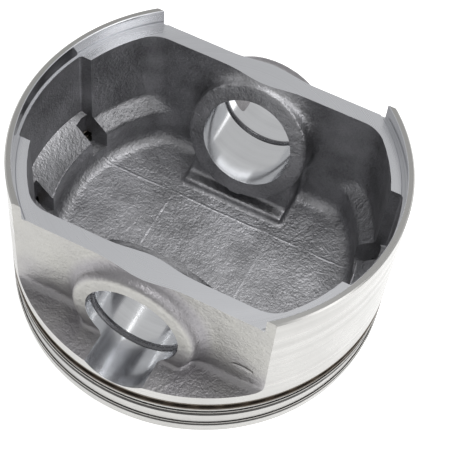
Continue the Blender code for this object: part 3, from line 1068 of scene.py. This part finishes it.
    def boring(self) -> bpy.types.Object:
        """The pin bore, both circlip grooves and the troughs outside them.

        Returns:
            The tool.
        """
        low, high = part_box("circlip_right")[0][1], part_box("circlip_right")[1][1]
        inner, outer = low - self.clip_groove_play, high + self.clip_groove_play
        trough = self.bore_radius + self.trough_step
        groove = self.bore_radius + self.clip_groove_depth
        edge = self.bore_edge
        half = [
            (self.bore_radius, inner - edge / 2),
            (self.bore_radius + edge / 2, inner),
            (groove, inner),
            (groove, outer),
            (trough, outer),
            (trough, self.skirt_radius + self.past),
            (0, self.skirt_radius + self.past),
        ]
        profile = [(r, -y) for r, y in reversed(half)] + half
        made = turned("boring", profile, self.bore_steps, Axis.PIN)
        made.data.transform(Matrix.Translation((0, 0, self.pin_height)))
        return dress(made, self.finishes.bore.build())

    def drains(self) -> bpy.types.Object:
        """The drilled oil drains behind the oil groove, as one tool.

        Returns:
            The tool.
        """
        low, high = self.grooves()[2]
        inner, outer = self.belt_radius - self.past, self.groove_root + 1 * MM
        bm = bmesh.new()
        for angle in self.drain_angles:
            turn = Matrix.Rotation(math.radians(angle), 4, "Z")
            place = Matrix.Translation(((inner + outer) / 2, 0, (low + high) / 2))
            matrix = turn @ place @ Matrix.Rotation(math.pi / 2, 4, "Y")
            radius = self.drain_radius
            bmesh.ops.create_cone(
                bm, cap_ends=True, segments=24, radius1=radius, radius2=radius,
                depth=outer - inner, matrix=matrix,
            )
        return dress(object_of("drains", bm), self.finishes.bore.build())

    def build(self) -> bpy.types.Object:
        """Cast, machine and dress the piston.

        Returns:
            The finished casting.
        """
        body = self.blank()
        use_tool(body, self.core(), Cut.REMOVE)
        self.weather(body)
        inside, outside = self.finishes.cavity.build(), self.finishes.outside.build()
        dress(body, inside)
        use_tool(body, dress(self.pockets(), inside), Cut.REMOVE)
        for notch in self.notches():
            use_tool(body, dress(notch, inside), Cut.REMOVE)
        use_tool(body, dress(self.pad(), outside), Cut.JOIN)
        use_tool(body, self.turning(), Cut.KEEP_INSIDE)
        use_tool(body, self.register(), Cut.REMOVE)
        use_tool(body, self.boring(), Cut.REMOVE)
        use_tool(body, self.drains(), Cut.REMOVE)
        if abs(body.dimensions.z - self.height) > self.height_slack * self.height:
            raise RuntimeError("a cut has spoilt the casting")
        shade(body)
        self.paint_outside(body, outside)
        body.name = "machined_piston"
        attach(body, "piston")
        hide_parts("piston_casting")
        return body

    def pad(self) -> bpy.types.Object:
        """The plain oval pad cast on one flat wall, beside the boss.

        Returns:
            The pad.
        """
        bottom, top = self.flat_inner + 1 * MM, self.flat_outer + self.pad_height
        bevel = self.pad_bevel
        profile = [(0, -bottom), (1, -bottom), (1, bevel * self.pad_height - top)]
        profile += [(1 - bevel, -top), (0, -top)]
        made = turned("pad", profile, 48, Axis.PIN)
        made.data.transform(Matrix.Diagonal((self.pad_half[0], 1, self.pad_half[1], 1)))
        made.data.transform(Matrix.Translation((self.pad_centre[0], 0, self.pad_centre[1])))
        return made

    def paint_outside(self, body: bpy.types.Object, skin: bpy.types.Material) -> None:
        """Give the cast faces outside the flat walls the paler outside skin.

        Args:
            body: The casting.
            skin: The outside's finish, already one of its materials.
        """
        outside = body.data.materials.find(skin.name)
        middle = (self.flat_inner + self.flat_outer) / 2
        for face in body.data.polygons:
            if face.material_index == 0 and abs(face.center.y) > middle:
                face.material_index = outside


# ---------------------------------------------------------------- rings and circlips


def split_angles(gap_angle: float, half_gap: float, steps: int) -> list[float]:
    """Angles in radians round a split ring, from one side of its gap to the other.

    Args:
        gap_angle: Where the gap is, in degrees.
        half_gap: Half the gap's angle, in radians.
        steps: How many steps go round.

    Returns:
        The angles.
    """
    start = math.radians(gap_angle) + half_gap
    sweep = 2 * math.pi - 2 * half_gap
    return [start + sweep * step / steps for step in range(steps + 1)]


def swept(
    name: str, sections: list[list[Point]], angles: list[float]
) -> bpy.types.Object:
    """Skin closed (radius, height) sections round Z, capped at both ends.

    Args:
        name: The object's name.
        sections: One section for each angle.
        angles: The angles, in radians.

    Returns:
        The ring.
    """
    bm = bmesh.new()
    loops = []
    for section, angle in zip(sections, angles):
        side, front = math.cos(angle), math.sin(angle)
        loops.append([bm.verts.new((r * side, r * front, h)) for r, h in section])
    for first, second in zip(loops, loops[1:]):
        for point in range(len(first)):
            after = (point + 1) % len(first)
            bm.faces.new((first[point], second[point], second[after], first[after]))
    bm.faces.new(loops[0])
    bm.faces.new(loops[-1])
    return object_of(name, bm)


@dataclass
class SplitRing:
    """A flat split ring in its groove, its outer edge crowned where it meets the cylinder."""

    node: str
    body: str
    name: str
    slot: str
    radial_width: float
    gap_angle: float
    finish: DarkSteel
    # rubbed: the lighter finish for the outer corners, which narrows a ring's painted shade
    rubbed: DarkSteel | None = None
    end_gap: float = 0.35 * MM
    edge: float = 0.17 * MM
    steps: int = 360

    def section(self, low: float, high: float, outer: float) -> list[Point]:
        """The ring's section with softened corners.

        Args:
            low: The lower face.
            high: The upper face.
            outer: The outer radius.

        Returns:
            The section's (radius, height) points.
        """
        inner = outer - self.radial_width
        edge = min(self.edge, (high - low) / 4)
        crown = edge / 3
        middle = (low + high) / 2
        return [
            (inner + edge, low), (outer - edge, low), (outer - crown, low + edge), (outer, middle),
            (outer - crown, high - edge), (outer - edge, high), (inner + edge, high),
            (inner, high - edge), (inner, low + edge),
        ]

    def build(self) -> bpy.types.Object:
        """Make the ring on its body.

        Returns:
            The ring.
        """
        low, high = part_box(self.node)
        outer = high[0]
        angles = split_angles(self.gap_angle, self.end_gap / 2 / outer, self.steps)
        section = self.section(low[2], high[2], outer)
        ring = swept(self.name, [section] * len(angles), angles)
        dress(ring, self.finish.build())
        # the outer corners take the lighter finish, narrowing the ring's painted shade
        if self.rubbed:
            ring.data.materials.append(self.rubbed.build())
            for face in ring.data.polygons:
                rim = face.center.xy.length > outer - 2 * self.edge
                at_edge = min(face.center.z - low[2], high[2] - face.center.z) < self.edge
                face.material_index = int(rim and at_edge)
        shade(ring)
        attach(ring, self.body)
        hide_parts(self.node)
        return ring


@dataclass
class Expander:
    """The crimped steel strip that pushes the two oil rails apart and out."""

    finish: DarkSteel
    waves: int = 48
    steps_per_wave: int = 12
    flatness: float = 1.7
    soft: float = 0.08 * MM
    wave_depth: float = 1.3 * MM
    sheet: float = 0.4 * MM
    gap_angle: float = 105.0
    end_gap: float = 0.35 * MM

    def build(self) -> bpy.types.Object:
        """Make the strip on its body.

        Returns:
            The strip.
        """
        low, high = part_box("oil_ring_expander")
        outer = high[0]
        steps = self.waves * self.steps_per_wave
        angles = split_angles(self.gap_angle, self.end_gap / 2 / outer, steps)
        middle = outer - self.wave_depth / 2
        sections = []
        for angle in angles:
            swing = max(-1.0, min(1.0, self.flatness * math.sin(self.waves * angle)))
            reach = middle + self.wave_depth / 2 * swing
            back = reach - self.sheet
            soft = self.soft
            sections.append([
                (back, low[2] + soft), (back + soft, low[2]), (reach - soft, low[2]),
                (reach, low[2] + soft), (reach, high[2] - soft), (reach - soft, high[2]),
                (back + soft, high[2]), (back, high[2] - soft),
            ])
        strip = swept("crimped_expander", sections, angles)
        dress(strip, self.finish.build())
        shade(strip)
        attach(strip, "expander")
        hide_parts("oil_ring_expander")
        return strip


@dataclass
class Circlip:
    """A round-wire circlip with rounded ends, open towards the rim."""

    node: str
    body: str
    name: str
    finish: DarkSteel
    opening: float = 7.0 * MM
    sides: int = 20
    steps: int = 160
    end_shares: tuple[float, ...] = (0.0, 0.3, 0.6, 0.85)
    end_tip: float = 0.15

    def build(self) -> bpy.types.Object:
        """Make the circlip on its body.

        Returns:
            The circlip.
        """
        low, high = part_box(self.node)
        wire = high[1] - low[1]
        outer = (high[0] - low[0]) / 2
        centre = outer - wire / 2
        middle_y = (low[1] + high[1]) / 2
        pin_height = low[2] + outer
        half_gap = self.opening / 2 / centre
        round_over = wire / 2 / centre
        angles, sections = [], []
        for share in self.end_shares:
            angles.append(math.pi / 2 + half_gap - round_over * (1 - share))
            sections.append(self._end_size(share))
        body = split_angles(90, half_gap, self.steps)
        angles += body
        sections += [1.0] * len(body)
        for share in reversed(self.end_shares):
            angles.append(math.pi / 2 + 2 * math.pi - half_gap + round_over * (1 - share))
            sections.append(self._end_size(share))
        loops = [
            arc((centre, 0), wire / 2 * size, 0, 360, self.sides)[:-1] for size in sections
        ]
        clip = swept(self.name, loops, angles)
        clip.data.transform(Matrix.Rotation(math.pi / 2, 4, "X"))
        clip.data.transform(Matrix.Translation((0, middle_y, pin_height)))
        dress(clip, self.finish.build())
        shade(clip, 50)
        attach(clip, self.body)
        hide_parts(self.node)
        return clip

    def _end_size(self, share: float) -> float:
        """The wire's size where its rounded end has run a share of its length."""
        return math.sqrt(1 - (1 - share) ** 2) if share else self.end_tip


@dataclass
class RingPack:
    """Both compression rings and the three pieces of the oil ring."""

    finishes: Finishes

    def build(self) -> list[bpy.types.Object]:
        """Make every piece of the pack.

        Returns:
            The pieces.
        """
        # bare is the lighter corner finish that narrows the compression rings' painted shade
        ring, rail, bare = self.finishes.ring, self.finishes.rail, self.finishes.ring_edge
        iron, steel = ("ring_iron", 3.2 * MM), ("rail_steel", 2.6 * MM)
        flats = (
            SplitRing("top_compression_ring", "top_ring", "first_ring", *iron, 45, ring, bare),
            SplitRing(
                "second_compression_ring", "second_ring", "next_ring", *iron, 165, ring, bare
            ),
            SplitRing("oil_ring_lower_rail", "lower_rail", "low_rail", *steel, 135, rail),
            SplitRing("oil_ring_upper_rail", "upper_rail", "high_rail", *steel, 75, rail),
        )
        return [flat.build() for flat in flats] + [Expander(self.finishes.crimp).build()]


# ---------------------------------------------------------------- the studio


@dataclass
class Studio:
    """A pale floor, soft boxes and the camera."""

    target: Vector = field(default_factory=lambda: Vector((8.3, -3.5, 23.05)) * MM)
    azimuth: float = 19.286
    elevation: float = 55.583
    roll: float = 8.195
    distance: float = 270.0 * MM
    lens: float = 101.84
    sensor: float = 36.0
    nearest: float = 0.01
    floor_half: float = 3.0
    floor_glow: float = 0.7
    floor_cloud: float = 30 * MM
    room_light: float = 0.55

    def camera(self) -> None:
        """Place the camera by its direction from the target, and roll it about its view."""
        turn, rise, roll = (math.radians(a) for a in (self.azimuth, self.elevation, self.roll))
        back = Vector((
            math.sin(turn) * math.cos(rise), -math.cos(turn) * math.cos(rise), math.sin(rise)
        ))
        level = Vector((math.cos(turn), math.sin(turn), 0))
        upright = back.cross(level)
        right = level * math.cos(roll) + upright * math.sin(roll)
        top = upright * math.cos(roll) - level * math.sin(roll)
        data = bpy.data.cameras.new("camera")
        data.lens = self.lens
        data.sensor_width = self.sensor
        data.clip_start = self.nearest
        camera = bpy.data.objects.new("camera", data)
        bpy.context.scene.collection.objects.link(camera)
        rotation = Matrix((right, top, back)).transposed().to_4x4()
        camera.matrix_world = Matrix.Translation(self.target + back * self.distance) @ rotation
        bpy.context.scene.camera = camera

    def floor(self) -> None:
        """The pale sheet that the piston stands on."""
        bm = bmesh.new()
        bmesh.ops.create_grid(bm, x_segments=2, y_segments=2, size=self.floor_half)
        sheet = object_of("pale_floor", bm)
        graph = FinishGraph("pale_paper")
        tone = graph.ramp(graph.noise(self.floor_cloud, 2.0), 0.3, 0.7, 0.0, 1.0)
        graph.surface(
            Base_Color=graph.mix(tone, (0.93, 0.93, 0.93), (0.95, 0.95, 0.95)),
            Emission_Color=(1.0, 1.0, 1.0, 1.0),
            Emission_Strength=self.floor_glow,
            Roughness=0.9,
            Specular_IOR_Level=0.1,
        )
        dress(sheet, graph.material)

    def softbox(self, name: str, place: Vector, size: Point, power: float) -> None:
        """One rectangular lamp aimed at the piston.

        Args:
            name: The lamp's name.
            place: Where it stands.
            size: Its width and height.
            power: Its power in watts.
        """
        data = bpy.data.lights.new(name, "AREA")
        data.shape = "RECTANGLE"
        data.size, data.size_y = size
        data.energy = power
        lamp = bpy.data.objects.new(name, data)
        bpy.context.scene.collection.objects.link(lamp)
        lamp.location = place
        lamp.rotation_euler = (self.target - place).to_track_quat("-Z", "Y").to_euler()

    def surroundings(self) -> None:
        """An even room of soft light."""
        world = bpy.data.worlds.new("white_room")
        bpy.context.scene.world = world
        world.use_nodes = True
        tree = world.node_tree
        back = tree.nodes["Background"]
        back.inputs["Color"].default_value = (1.0, 1.0, 1.0, 1.0)
        back.inputs["Strength"].default_value = self.room_light

    def build(self) -> None:
        """Set everything up."""
        self.camera()
        self.floor()
        self.surroundings()
        self.softbox("overhead", Vector((0.2, 0.15, 0.9)), (0.35, 0.35), 2.0)
        self.softbox("side", Vector((0.8, -0.1, 0.5)), (0.4, 0.6), 1.5)
        scene = bpy.context.scene
        scene.view_settings.view_transform = "Standard"


def main() -> None:
    """Build the piston and its studio, and note each piece as it is done."""
    logging.basicConfig(level=logging.INFO, format="%(message)s")
    Studio().build()
    finishes = Finishes()
    pieces = [PistonCasting(finishes).build()]
    pieces += RingPack(finishes).build()
    for side in ("left", "right"):
        clip = Circlip(f"circlip_{side}", f"{side}_circlip", f"{side}_wire_clip", finishes.clip)
        pieces.append(clip.build())
    for piece in pieces:
        LOG.info("%s: %d faces", piece.name, len(piece.data.polygons))


if __name__ == "__main__":
    main()
